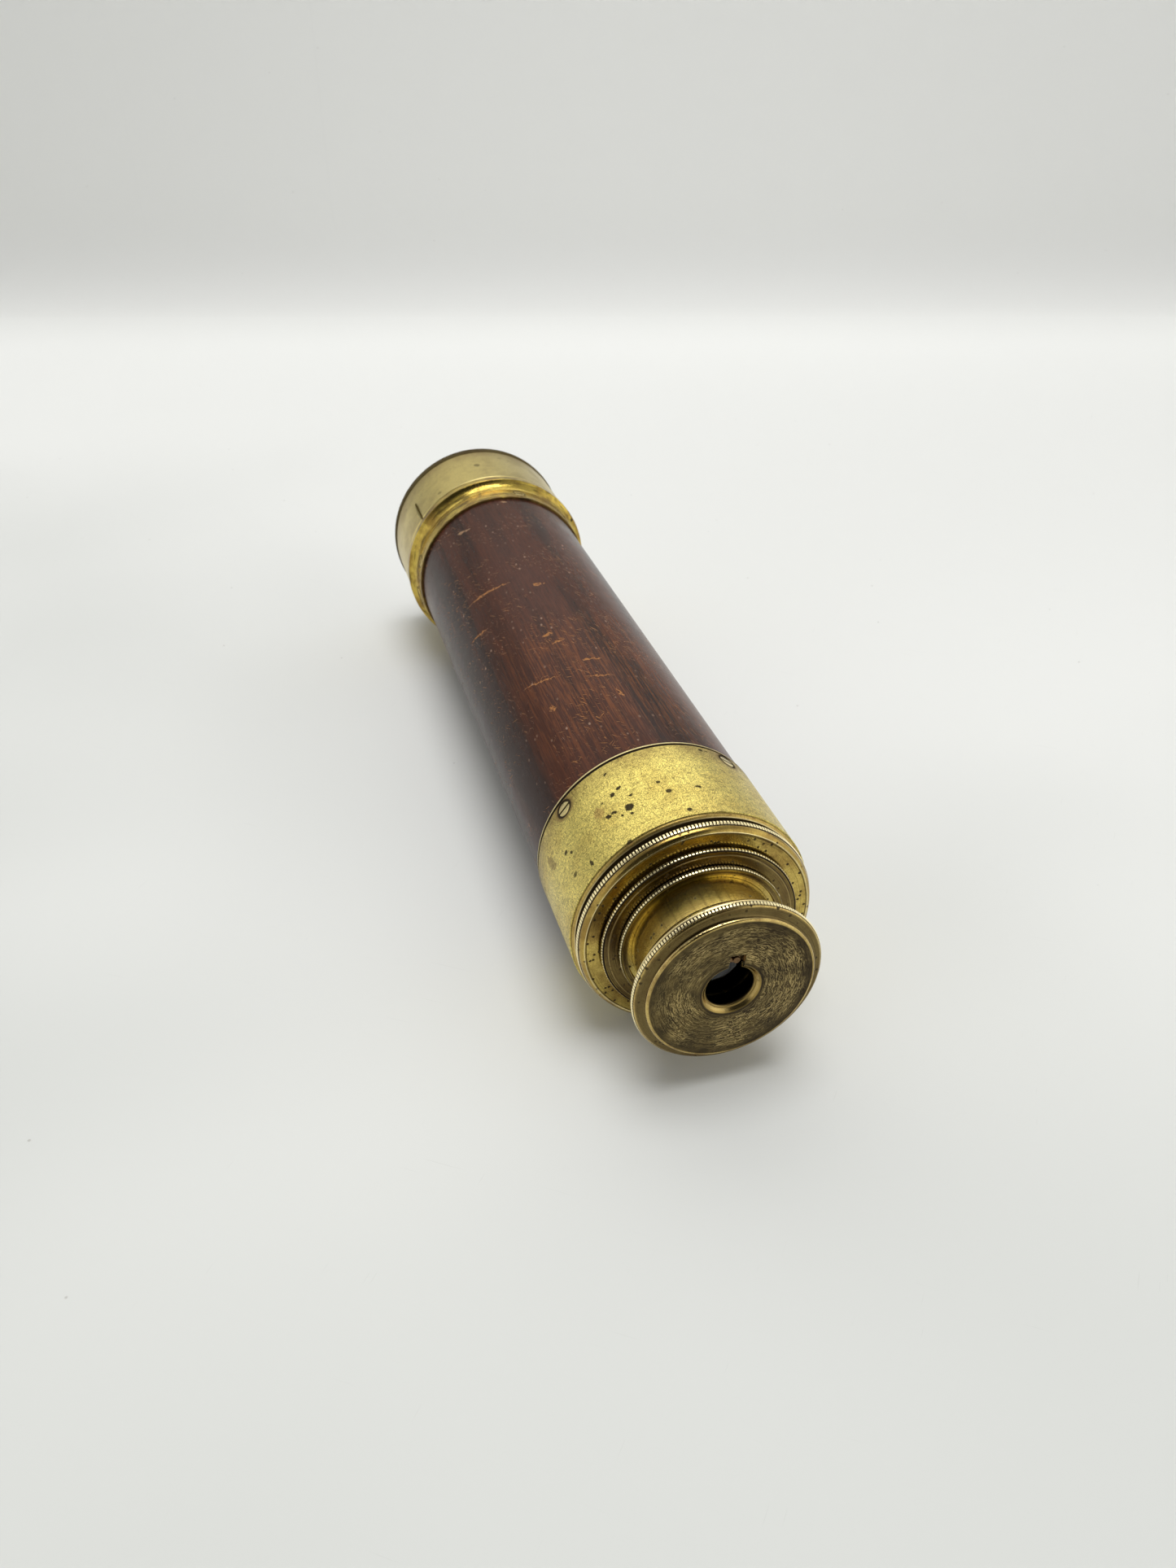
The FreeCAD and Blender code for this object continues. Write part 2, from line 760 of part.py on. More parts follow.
def make_eye_cap():
    face = D["cap_face"]
    radius = D["cap_face_radius"]
    edge = D["edge"]
    crest = D["cap_knurl_radius"]
    swell = D["knurl_swell"]
    rear = D["cap_rear"]
    start = D["cap_knurl_start"]
    end = D["cap_knurl_end"]
    neck = D["cap_neck_radius"]
    half = (end - start) / 2
    bead_curve = (half * half + swell * swell) / (swell * 2)
    rim = D["cap_rim_curve"]
    plate_rear = face - D["cap_plate"]
    body = turned("eye_cap", [
        (face, D["eye_sink"]),
        (face, radius - rim, rim),
        (face - rim, radius),
        (face - rim - edge, radius),
        (face - rim - edge, radius - D["cap_groove_depth"]),
        (face - rim - edge * 2, radius - D["cap_groove_depth"], -D["cap_cove_curve"]),
        (end + D["cap_shoulder"], D["cap_cove_radius"], D["cap_shoulder_curve"]),
        (end, crest - swell, bead_curve),
        (start, crest - swell),
        (start, neck),
        (start - D["cap_ridge_gap"], neck, D["cap_ridge_curve"]),
        (rear, neck),
        (rear, D["cap_bore"]),
        (plate_rear, D["cap_bore"]),
        (plate_rear, D["eye_hole"]),
        (face - D["eye_sink_depth"], D["eye_hole"]),
    ])
    before = body.Shape.Volume
    notch = body.newObject("PartDesign::SubtractiveBox", "eye_cap_notch")
    attach(notch, body, "XY_Plane")
    bind(notch, "Length", D["cap_plate"] * 2)
    bind(notch, "Width", D["notch_width"])
    bind(notch, "Height", D["notch_reach"])
    bind(notch, "AttachmentOffset.Base.x", face - D["cap_plate"] * 1.5)
    bind(notch, "AttachmentOffset.Base.y", D["notch_width"] / -2)
    doc.recompute()
    cut_checked(body, before)
    knurl(body, crest, start - edge, end + edge, D["cap_knurl_teeth"], D["knurl_depth"])
    turn_to(body, D["notch_angle"])


def make_eye_shutter():
    """A round plate on an arm; it is drawn open, lifted clear of the eye hole."""
    body = new_body("eye_shutter")
    side = D["shutter_pivot_side"]
    up = D["shutter_pivot_up"]
    rear = D["shutter_rear"]
    disc = body.newObject("PartDesign::AdditiveCylinder", "shutter_disc")
    lay_along_x(disc, body, rear, size(0), up * 2)
    bind(disc, "Radius", D["shutter_radius"])
    bind(disc, "Height", D["shutter_plate"])
    boss = body.newObject("PartDesign::AdditiveCylinder", "shutter_boss")
    lay_along_x(boss, body, rear, side, up)
    bind(boss, "Radius", D["shutter_boss"])
    bind(boss, "Height", D["shutter_plate"])
    arm = body.newObject("PartDesign::Pad", "shutter_arm")
    sketch = body.newObject("Sketcher::SketchObject", "shutter_arm_outline")
    attach(sketch, body, "YZ_Plane")
    bind(sketch, "AttachmentOffset.Base.z", rear)
    half = D["shutter_arm"] / 2
    outline(sketch, [
        (side, up - half),
        (side, up + half),
        (size(0), up * 2 + half),
        (size(0), up * 2 - half),
    ])
    arm.Profile = sketch
    bind(arm, "Length", D["shutter_plate"])
    nib = body.newObject("PartDesign::AdditiveCylinder", "shutter_nib")
    lay_along_x(nib, body, rear, size(0), D["nib_up"])
    bind(nib, "Radius", D["nib_radius"])
    bind(nib, "Height", D["nib_front"] - rear)
    doc.recompute()
    before = body.Shape.Volume
    eye = body.newObject("PartDesign::SubtractiveCylinder", "shutter_eye")
    lay_along_x(eye, body, rear - D["edge"], side, up)
    bind(eye, "Radius", D["pivot_radius"] + D["slide_gap"])
    bind(eye, "Height", D["shutter_plate"] + D["edge"] * 2)
    doc.recompute()
    cut_checked(body, before)
    body.Tip = eye
    turn_to(body, D["notch_angle"])


def make_shutter_pivot():
    """The shouldered rivet that the shutter swings on."""
    body = new_body("eye_shutter_pivot")
    side = D["shutter_pivot_side"]
    up = D["shutter_pivot_up"]
    foot = D["mount_plate_front"] - D["mount_plate"] + D["fixed_gap"]
    head = D["shutter_rear"] + D["shutter_plate"] + D["face_gap"]
    shank = body.newObject("PartDesign::AdditiveCylinder", "pivot_shank")
    lay_along_x(shank, body, foot, side, up)
    bind(shank, "Radius", D["pivot_radius"] - D["fixed_gap"])
    bind(shank, "Height", head - foot)
    top = body.newObject("PartDesign::AdditiveCylinder", "pivot_head")
    lay_along_x(top, body, head, side, up)
    bind(top, "Radius", D["pivot_head"])
    bind(top, "Height", D["pivot_head_length"])
    doc.recompute()
    turn_to(body, D["notch_angle"])


def lens_cell(name, front, outer, radius, curve):
    """A plano-convex lens, flat side to the eye, in a ring with a ledge in front of it."""
    gap = D["fixed_gap"]
    seat = front - D["cell_ledge"]
    turned(name + "_cell", [
        (front, radius - D["cell_ledge_width"]),
        (front, outer - gap),
        (front - D["cell_length"], outer - gap),
        (front - D["cell_length"], radius + gap),
        (seat, radius + gap),
        (seat, radius - D["cell_ledge_width"]),
    ])
    flat = seat - gap
    edge = flat - D["lens_edge"]
    turned(name, [
        (flat, size(0)),
        (flat, radius),
        (edge, radius, curve),
        (edge - sagitta(curve, radius), size(0)),
    ])


def make_eyepiece():
    cell = D["cell_length"]
    tube("eyepiece_tube", D["eyepiece_rear"], D["eyepiece_front"], D["eyepiece_bore"],
         D["eyepiece_radius"])
    lens_cell("eye_lens", D["eyepiece_front"] - D["edge"], D["eyepiece_bore"],
              D["eye_lens_radius"], D["eye_lens_curve"])
    lens_cell("field_lens", D["eyepiece_rear"] + cell * 1.5, D["eyepiece_bore"],
              D["field_lens_radius"], D["field_lens_curve"])


def make_erector():
    cell = D["cell_length"]
    bore = D["erector_bore"]
    tube("erector_tube", D["erector_rear"], D["erector_front"], bore, D["erector_radius"])
    lens_cell("erector_front_lens", D["erector_front"] - cell / 2, bore,
              D["erector_lens_radius"], D["erector_lens_curve"])
    lens_cell("erector_rear_lens", D["erector_rear"] + cell * 1.5, bore,
              D["erector_lens_radius"], D["erector_lens_curve"])
    middle = (D["erector_front"] + D["erector_rear"]) / 2
    tube("erector_stop", middle - D["erector_stop_length"], middle,
         D["erector_stop_hole"], bore - D["fixed_gap"])


# ---------------------------------------------------------------- objective

def make_objective_cell():
    back = flange_face() - D["face_gap"]
    front = back - D["objective_cell_length"]
    inner_end = shoulder() - D["rear_spigot"] - D["face_gap"] * 2
    seat = flange_face() - D["objective_seat"]
    edge = D["edge"]
    turned("objective_cell", [
        (inner_end, D["objective_ledge"]),
        (inner_end, D["cell_spigot_radius"]),
        (back, D["cell_spigot_radius"]),
        (back, D["cell_radius"]),
        (front + edge, D["cell_radius"]),
        (front, D["cell_radius"] - edge),
        (front, D["objective_pocket"]),
        (seat, D["objective_pocket"]),
        (seat, D["objective_ledge"]),
    ])
    make_objective_lenses(seat)


def make_objective_lenses(seat):
    """The flint lens rests on the ledge, and the crown lens nests in it."""
    gap = D["fixed_gap"]
    radius = D["objective_radius"]
    curve = D["objective_curve"]
    deep = sagitta(curve, radius)
    flat = seat - gap
    hollow = flat - D["flint_thickness"]
    turned("objective_flint_lens", [
        (flat, size(0)),
        (flat, radius),
        (hollow - deep, radius, -curve),
        (hollow, size(0)),
    ])
    back = hollow - gap
    front = back - D["crown_thickness"]
    turned("objective_crown_lens", [
        (back, size(0), curve),
        (back - deep, radius),
        (front + deep, radius, curve),
        (front, size(0)),
    ])
    retainer = front + sagitta(curve, D["retainer_bore"]) - gap
    tube("objective_retaining_ring", retainer - D["retainer_length"], retainer,
         D["retainer_bore"], D["objective_pocket"] - gap)


def make_objective_cap():
    edge = D["edge"]
    open_end = flange_face() - D["skirt_gap"]
    rim_front = open_end - D["skirt_length"]
    rim_end = rim_front - D["rim_length"]
    end = rim_end - D["dome_length"]
    crest = D["rim_radius"]
    swell = D["rim_swell"]
    half = D["rim_length"] / 2
    bead_curve = (half * half + swell * swell) / (swell * 2)
    bore = D["cell_radius"] + D["slip_gap"]
    line = D["end_line_radius"]
    floor = end + D["end_line_depth"]
    body = turned("objective_cap", [
        (open_end, bore),
        (open_end, D["skirt_radius"] - edge),
        (open_end - edge, D["skirt_radius"]),
        (rim_front, D["skirt_radius"]),
        (rim_front, crest - swell, bead_curve),
        (rim_end, crest - swell),
        (rim_end, D["dome_radius"] + edge),
        (end, D["dome_radius"] - edge * 2),
        (end, line + D["end_line_width"]),
        (floor, line + D["end_line_width"] / 2),
        (end, line),
        (end, size(0)),
        (end + D["end_plate"], size(0)),
        (end + D["end_plate"], bore),
    ])
    knurl(body, crest, rim_end - edge, rim_front, D["rim_teeth"], D["rim_depth"])
    cut_slits(body, open_end)


def cut_slits(body, open_end):
    """Two spring slits in the skirt, on opposite sides."""
    before = body.Shape.Volume
    slit = body.newObject("PartDesign::SubtractiveBox", "cap_slit")
    attach(slit, body, "XY_Plane")
    bind(slit, "Length", D["slit_length"] * 2)
    bind(slit, "Width", D["slit_width"])
    bind(slit, "Height", D["rim_radius"] * 2)
    bind(slit, "AttachmentOffset.Base.x", open_end - D["slit_length"])
    bind(slit, "AttachmentOffset.Base.y", D["slit_width"] / -2)
    bind(slit, "AttachmentOffset.Base.z", -D["rim_radius"])
    doc.recompute()
    cut_checked(body, before)
    body.Tip = slit
    turn_to(body, D["slit_angle"])


# ---------------------------------------------------------------- checks and files

def check_everything():
    """Stops if any feature failed or any sub-part is not a sound solid."""
    for feature in doc.Objects:
        if "Invalid" in feature.State or "Error" in feature.State:
            raise RuntimeError(feature.Label + ": " + ", ".join(feature.State))
    for node in NODES:
        if node.Shape.isNull() or not node.Shape.isValid() or not node.Shape.Solids:
            raise RuntimeError(node.Label + ": not a sound solid")


def write_nodes():
    os.makedirs("parts", exist_ok=True)
    for node in NODES:
        node.Shape.exportStep("parts/%s.step" % node.Label)


make_wood_barrel()
make_eye_end_ferrule()
make_objective_ferrule()
make_barrel_collar()
make_first_draw()
make_second_draw()
make_third_draw()
make_eyepiece_mount()
make_eye_cap()
make_eye_shutter()
make_shutter_pivot()
make_eyepiece()
make_erector()
make_objective_cell()
make_objective_cap()
doc.recompute()
check_everything()
write_nodes()
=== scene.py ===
import bpy
import json
import math
from mathutils import Matrix, Vector


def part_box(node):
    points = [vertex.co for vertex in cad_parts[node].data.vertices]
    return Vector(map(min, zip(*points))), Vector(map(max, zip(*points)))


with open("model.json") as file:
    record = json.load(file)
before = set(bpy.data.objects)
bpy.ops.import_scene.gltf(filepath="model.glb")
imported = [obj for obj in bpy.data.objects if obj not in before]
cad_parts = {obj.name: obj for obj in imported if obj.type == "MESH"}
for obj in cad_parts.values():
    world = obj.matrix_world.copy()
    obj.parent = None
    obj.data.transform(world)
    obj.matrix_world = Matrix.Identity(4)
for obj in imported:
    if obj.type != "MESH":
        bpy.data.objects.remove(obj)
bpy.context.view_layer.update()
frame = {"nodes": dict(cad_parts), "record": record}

MM = 0.001
NODES = frame["nodes"]


def box_mm(node):
    """The lowest and highest corners of a CAD node, in mm."""
    low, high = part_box(node)
    return low / MM, high / MM


# ------------------------------------------------------------------ shader helpers

class Nodes:
    """Adds shader nodes to a tree. Inputs may be sockets, numbers or colours."""

    def __init__(self, tree):
        self.tree = tree

    def node(self, kind, **settings):
        made = self.tree.nodes.new(kind)
        for name, value in settings.items():
            setattr(made, name, value)
        return made

    def feed(self, socket, value):
        """Links a socket, or sets a plain value."""
        if isinstance(value, bpy.types.NodeSocket):
            self.tree.links.new(value, socket)
        elif isinstance(value, tuple) and len(value) == 3 and socket.type == "RGBA":
            socket.default_value = (*value, 1.0)
        else:
            socket.default_value = value

    def math(self, operation, first, second=0.0, clamp=False):
        made = self.node("ShaderNodeMath", operation=operation, use_clamp=clamp)
        for socket, value in zip(made.inputs, (first, second)):
            self.feed(socket, value)
        return made.outputs[0]

    def add(self, first, second):
        return self.math("ADD", first, second)

    def times(self, *values):
        result = values[0]
        for value in values[1:]:
            result = self.math("MULTIPLY", result, value)
        return result

    def most(self, *values):
        """The largest of several masks."""
        result = values[0]
        for value in values[1:]:
            result = self.math("MAXIMUM", result, value)
        return result

    def invert(self, value):
        return self.math("SUBTRACT", 1.0, value, clamp=True)

    def vector(self, x, y, z):
        made = self.node("ShaderNodeCombineXYZ")
        for socket, value in zip(made.inputs, (x, y, z)):
            self.feed(socket, value)
        return made.outputs[0]

    def split(self, vector):
        made = self.node("ShaderNodeSeparateXYZ")
        self.feed(made.inputs[0], vector)
        return list(made.outputs)

    def step(self, value, low, high):
        """A smooth step from 0 at low to 1 at high; low may be above high."""
        made = self.node("ShaderNodeMapRange", interpolation_type="SMOOTHSTEP")
        self.feed(made.inputs["Value"], value)
        made.inputs["From Min"].default_value = low
        made.inputs["From Max"].default_value = high
        return made.outputs["Result"]

    def band(self, value, low, high, soft):
        """1 between low and high."""
        return self.times(
            self.step(value, low - soft, low + soft), self.step(value, high + soft, high - soft))

    def scale(self, value, low, high):
        """Maps 0..1 to low..high."""
        return self.add(low, self.times(value, high - low))

    def noise(self, vector, scale=1.0, detail=2.0, roughness=0.5, distortion=0.0):
        made = self.node("ShaderNodeTexNoise", noise_dimensions="3D")
        self.feed(made.inputs["Vector"], vector)
        made.inputs["Scale"].default_value = scale
        made.inputs["Detail"].default_value = detail
        made.inputs["Roughness"].default_value = roughness
        made.inputs["Distortion"].default_value = distortion
        return made.outputs["Fac"]

    def cells(self, vector, scale=1.0):
        """Voronoi cells: the distance to the nearest centre, and a random number per cell."""
        made = self.node("ShaderNodeTexVoronoi", feature="F1")
        self.feed(made.inputs["Vector"], vector)
        made.inputs["Scale"].default_value = scale
        split = self.node("ShaderNodeSeparateColor")
        self.tree.links.new(made.outputs["Color"], split.inputs[0])
        return made.outputs["Distance"], split.outputs[0]

    def mix(self, share, first, second, blend="MIX"):
        made = self.node("ShaderNodeMix", data_type="RGBA", blend_type=blend)
        self.feed(made.inputs[0], share)
        self.feed(made.inputs[6], first)
        self.feed(made.inputs[7], second)
        return made.outputs[2]


class Paint(Nodes):
    """One material, with places measured in mm on the object's own axis."""

    def __init__(self, name):
        self.material = bpy.data.materials.new(name)
        self.material.use_nodes = True
        super().__init__(self.material.node_tree)
        self.tree.nodes.clear()
        self.surface = self.node("ShaderNodeBsdfPrincipled")
        output = self.node("ShaderNodeOutputMaterial")
        self.tree.links.new(self.surface.outputs["BSDF"], output.inputs["Surface"])
        self.coordinates()

    def coordinates(self):
        """Places in mm: along the axis, radius, angle from +Z towards +Y, and the arc."""
        source = self.node("ShaderNodeTexCoord").outputs["Object"]
        self.x, self.y, self.z = [self.times(out, 1 / MM) for out in self.split(source)]
        squares = self.add(self.times(self.y, self.y), self.times(self.z, self.z))
        self.radius = self.math("SQRT", squares)
        self.angle = self.math("ARCTAN2", self.y, self.z)
        self.arc = self.times(self.angle, self.radius)
        self.place = self.vector(self.x, self.y, self.z)

    def set(self, name, value):
        self.feed(self.surface.inputs[name], value)

    def hairlines(self, across, along, turn, length, width, cover, seed):
        """Thin dashes: `turn` is their angle to `along`, in degrees; cover is their share."""
        cosine, sine = math.cos(math.radians(turn)), math.sin(math.radians(turn))
        run = self.add(self.times(along, cosine), self.times(across, sine))
        side = self.add(self.times(across, cosine), self.times(along, -sine))
        place = self.vector(self.times(run, 1 / length), self.times(side, 1 / width), seed)
        edge = 0.78 - 0.36 * cover
        return self.step(self.noise(place, detail=1.0), edge, edge + 0.06)

    def crazing(self, scale, width, seed):
        """Thin wandering lines, where a noise crosses its middle value."""
        shifted = self.vector(self.add(self.x, seed), self.y, self.z)
        value = self.noise(shifted, scale=scale, detail=2.0, roughness=0.6)
        away = self.math("ABSOLUTE", self.add(value, -0.5))
        return self.step(away, width, 0.0)

    def marks(self, places, radius, wander=0.5):
        """Marks on the turned surface of that radius.

        A mark is (place along the axis, angle, length, width, turn from the axis).
        """
        bend = self.noise(self.place, scale=0.9, detail=3.0)
        shift = self.times(self.add(bend, -0.5), wander * 2)
        flat = self.vector(self.add(self.x, shift), self.add(self.arc, self.times(shift, -1)), 0)
        masks = []
        for x, angle, length, width, turn in places:
            made = self.node("ShaderNodeMapping", vector_type="TEXTURE")
            self.feed(made.inputs["Vector"], flat)
            made.inputs["Location"].default_value = (x, math.radians(angle) * radius, 0)
            made.inputs["Rotation"].default_value = (0, 0, math.radians(turn))
            made.inputs["Scale"].default_value = (length / 2, width / 2, 1)
            far = self.node("ShaderNodeVectorMath", operation="LENGTH")
            self.feed(far.inputs[0], made.outputs[0])
            masks.append(self.step(far.outputs["Value"], 1.22, 0.85))
        return self.most(*masks)

    def bump(self, height, strength, distance=0.1):
        """Adds a small relief, in mm, to whatever relief is there."""
        made = self.node("ShaderNodeBump")
        made.inputs["Strength"].default_value = strength
        made.inputs["Distance"].default_value = distance * MM
        self.feed(made.inputs["Height"], height)
        before = self.surface.inputs["Normal"]
        if before.is_linked:
            self.tree.links.new(before.links[0].from_socket, made.inputs["Normal"])
        self.tree.links.new(made.outputs["Normal"], before)


# ------------------------------------------------------------------ brass

# Near-black: real dirt, pits and turned lines, and also painted shade
GRIME_AND_SHADE = (0.022, 0.014, 0.008)
HAIRLINE = (0.065, 0.034, 0.010)
TARNISH = (0.22, 0.13, 0.045)
# Cream painted highlight, laid on knurl crests, beads and bright edge lines
PAINTED_HIGHLIGHT = (1.0, 0.87, 0.51)
KNURL_DEPTH = 0.42                  # mm, of a knurl's grooves


class Brass(Paint):
    """Aged brass: `tone` where polished and `dull` where tarnished."""

    def __init__(self, name, tone, dull, roughness, low=0.42, high=0.66):
        super().__init__(name)
        clouds = self.noise(self.place, scale=0.13, detail=5.0, roughness=0.62)
        self.cloud = self.step(clouds, low, high)
        self.colour = self.mix(self.cloud, tone, dull)
        self.rough = self.scale(self.cloud, roughness, roughness + 0.06)
        self.shine = 1.0
        self.profile = self.add(self.x, self.times(self.radius, 1.3))
        mottle = self.noise(self.place, scale=1.1, detail=4.0, roughness=0.7)
        self.stain(self.step(mottle, 0.48, 0.72), TARNISH, 0.22, 0.02)

    def stain(self, mask, colour, strength=1.0, rough=0.0, loss=0.0):
        """Covers the brass with `colour` where the mask is 1; `loss` is how much shine goes."""
        share = self.times(mask, strength)
        self.colour = self.mix(share, self.colour, colour)
        self.rough = self.add(self.rough, self.times(share, rough))
        self.shine = self.math("SUBTRACT", self.shine, self.times(share, loss), clamp=True)

    def web(self, strength):
        """A close web of dark hairlines, some round the turning and some across it."""
        lines = self.most(
            self.hairlines(self.profile, self.arc, 3.0, 3.0, 0.14, 0.44, 1.0),
            self.hairlines(self.profile, self.arc, 72.0, 1.8, 0.14, 0.44, 2.0),
            self.hairlines(self.profile, self.arc, -58.0, 1.5, 0.14, 0.44, 3.0),
            self.crazing(2.8, 0.060, 40.0),
            self.times(self.crazing(1.3, 0.022, 90.0), 0.9),
        )
        self.stain(lines, HAIRLINE, strength, 0.06, 0.1)
        self.bump(lines, 0.2, -0.015)

    def rings(self, strength, width=0.22):
        """Fine turned lines round the axis."""
        lines = self.hairlines(self.profile, self.arc, 0.4, 24.0, width, 0.52, 6.0)
        self.stain(lines, GRIME_AND_SHADE, strength, 0.04, 0.1)

    def pits(self, scale, share):
        """Small dark pits, a share of the cells of a grid of `scale` cells per mm."""
        distance, chance = self.cells(self.place, scale=scale)
        spot = self.times(
            self.step(distance, 0.40, 0.28), self.step(chance, 1.0 - share, 1.03 - share))
        self.stain(spot, GRIME_AND_SHADE, 0.9, 0.3, 0.6)
        self.bump(spot, 0.2, -0.02)

    def grime_and_shade(self, mask, strength=1.0):
        """Black: dirt in grooves, and painted shade in gaps and recesses."""
        self.stain(mask, GRIME_AND_SHADE, strength, 0.35, 1.0)

    def knurl(self, node, rear, front):
        """Painted highlights on the crests, and black grooves of dirt and painted shade; rear and
        front are measured from the face.
        """
        face, crest, depth = box_mm(node)[1].x, crest_radius(node), KNURL_DEPTH
        rim = self.band(self.x, face + rear, face + front, 0.04)
        rim = self.times(rim, self.step(self.radius, crest - depth * 1.4, crest - depth * 1.2))
        lean = self.step(self.x, face + rear, face + front)
        height = self.add(self.radius, self.times(lean, depth * 0.35))
        low = self.step(height, crest, crest - depth * 0.27)
        # Crests get a painted highlight; the grooves, and more of the band towards the rear, get
        # black dirt and painted shade
        self.stain(self.times(rim, self.invert(low)), PAINTED_HIGHLIGHT, 0.95)
        self.grime_and_shade(self.times(rim, low), 1.0)

    def done(self):
        self.set("Base Color", self.colour)
        self.set("Metallic", self.shine)
        self.set("Specular IOR Level", 0.08)
        self.set("Roughness", self.rough)
        self.bump(self.noise(self.place, scale=0.8, detail=3.0), 0.10, 0.05)
        return self.material


def crest_radius(node):
    """A turned node's largest radius, in mm."""
    return max(math.hypot(v.co.y, v.co.z) for v in NODES[node].data.vertices) / MM


def near_screws(p, place, first_angle, radius, reach):
    """1 within `reach` mm of any of four screws evenly round a ring."""
    quarter = math.pi / 2
    whole_turn = quarter * 4        # keeps the angle above zero, as MODULO needs
    turned = p.add(p.angle, whole_turn + quarter / 2 - math.radians(first_angle))
    folded = p.add(p.math("MODULO", turned, quarter), -quarter / 2)
    aside = p.times(folded, radius)
    ahead = p.add(p.x, -place)
    away = p.math("SQRT", p.add(p.times(aside, aside), p.times(ahead, ahead)))
    return p.step(away, reach + 0.35, reach - 0.15)


EYE_SCREWS = (-22.6, -53.0)         # place along the axis in mm, and the first one's angle
OBJECTIVE_SCREWS = (-171.8, 15.0)
SLIT_ANGLE = -53.0                  # of the slit in the objective cap that faces the viewer
FERRULE_SPOTS = [                   # place along the axis, angle, length, width, turn
    (-16, -25, 1.0, 0.9, 0), (-15, -29, 1.1, 0.9, 30), (-12, -22, 0.8, 0.7, 0),
    (-9, -25, 2.1, 1.7, 20), (-10, -32, 1.3, 0.9, 60), (-10, -35, 1.5, 1.0, 50),
    (-8, -29, 0.8, 0.6, 0), (-7, -25, 0.8, 0.7, 0), (-9, 8, 1.3, 0.8, 70),
    (-3, -52, 1.8, 0.6, 10),
]
RED_STAIN = (-12.8, -38, 3.2, 2.4, 0)
BROWN_STAIN = (-16.6, -75, 5.5, 2.2, 20)
CAP_STAIN = (-192.1, -4.2, 2.2, 1.8, 0)


def ferrule_brass():
    """The broad eye-end band: satin olive-yellow with a close web of dark hairlines."""
    p = Brass("ferrule_brass", (0.99, 0.82, 0.225), (0.85, 0.67, 0.175), 0.31)
    rear, radius = box_mm("eye_end_ferrule")[0].x, crest_radius("eye_end_ferrule")
    p.stain(p.marks([RED_STAIN], radius, 1.0), (0.35, 0.12, 0.05), 0.45, 0.1)
    p.stain(p.marks([BROWN_STAIN], radius, 1.0), TARNISH, 0.55, 0.1, 0.1)
    near_wood = p.times(
        p.step(p.x, rear + 9.3, rear + 1.3), p.noise(p.place, scale=0.25, detail=3.0))
    p.stain(near_wood, TARNISH, 0.95, 0.05)
    p.web(0.85)
    p.pits(0.55, 0.05)
    p.stain(p.marks(FERRULE_SPOTS, radius), GRIME_AND_SHADE, 0.95, 0.35, 0.8)
    p.stain(near_screws(p, *EYE_SCREWS, radius, 2.9), TARNISH, 0.6, 0.1, 0.1)
    p.grime_and_shade(near_screws(p, *EYE_SCREWS, radius, 2.25), 0.97)
    # Painted highlight on the bead at the rear edge
    p.stain(p.step(p.x, rear + 0.62, rear + 0.50), PAINTED_HIGHLIGHT, 0.5)
    p.grime_and_shade(p.band(p.x, rear + 0.60, rear + 1.48, 0.04))
    ferrule_nose(p, radius)
    p.rings(0.12)
    return p.done()


def ferrule_nose(p, radius):
    """The turned step in front of the shoulder: brown, with a black line, a painted highlight line,
    and black painted shade below it.
    """
    nose = p.step(p.x, -0.02, 0.06)
    p.stain(nose, (0.42, 0.26, 0.08), 0.65)
    p.grime_and_shade(p.times(nose, p.band(p.radius, radius - 0.34, radius - 0.20, 0.05)), 0.9)
    # Painted highlight line on the nose
    p.stain(p.times(nose, p.band(p.radius, radius - 0.92, radius - 0.78, 0.05)), PAINTED_HIGHLIGHT, 0.6)
    # Black below the nose, in the gap to the next part: painted shade
    p.grime_and_shade(p.step(p.radius, radius - 0.95, radius - 1.02), 0.95)


def objective_brass():
    """The flanged ring: strong golden yellow, with an uneven dark line where it meets the wood."""
    p = Brass("objective_brass", (0.65, 0.48, 0.10), (0.36, 0.23, 0.05), 0.18, 0.42, 0.60)
    at_wood = box_mm("objective_ferrule")[1].x
    ragged = p.add(p.x, p.times(p.noise(p.place, scale=0.45, detail=4.0), 2.0))
    p.stain(p.step(ragged, at_wood + 0.12, at_wood + 0.92), (0.10, 0.05, 0.02), 0.85, 0.2, 0.5)
    long_stain = p.noise(p.vector(p.times(p.x, 0.8), p.times(p.arc, 0.12), 0), detail=4.0)
    p.stain(p.step(long_stain, 0.52, 0.66), GRIME_AND_SHADE, 0.7, 0.1, 0.3)
    p.web(0.25)
    p.pits(0.6, 0.04)
    p.grime_and_shade(near_screws(p, *OBJECTIVE_SCREWS, crest_radius("objective_ferrule_screws"), 2.0), 0.9)
    p.rings(0.25)
    return p.done()


def pale_brass():
    """The slip-on cap: pale greenish brass, browner and then black towards its knurled rim."""
    p = Brass("pale_brass", (0.59, 0.47, 0.145), (0.46, 0.35, 0.11), 0.28)
    low, high = box_mm("objective_cap")
    skirt = crest_radius("objective_cap") - 0.35
    rim = low.x + 3.7
    brown = p.times(p.step(p.x, rim + 9.0, rim), p.noise(p.place, scale=0.12, detail=3.0))
    p.stain(brown, TARNISH, 0.8, 0.05)
    p.web(0.18)
    p.pits(0.45, 0.03)
    p.stain(p.marks([CAP_STAIN], skirt), GRIME_AND_SHADE, 0.6, 0.3, 0.5)
    p.grime_and_shade(p.marks([(high.x - 6.0, SLIT_ANGLE, 13.0, 1.5, 0)], skirt, 0.1), 0.55)
    # Painted highlight along the edge by the flange
    p.stain(p.step(p.x, high.x - 0.5, high.x - 0.2), (0.95, 0.80, 0.35), 0.6)
    p.grime_and_shade(p.step(p.x, rim + 0.3, rim - 0.05), 0.80)
    return p.done()


KNURLS = {                          # node: the knurl's rear and front ends, from its front face
    "barrel_collar": (-2.65, -1.08),
    "first_draw_collar": (-1.25, -0.1),
    "second_draw_collar": (-1.3, 0.0),
}


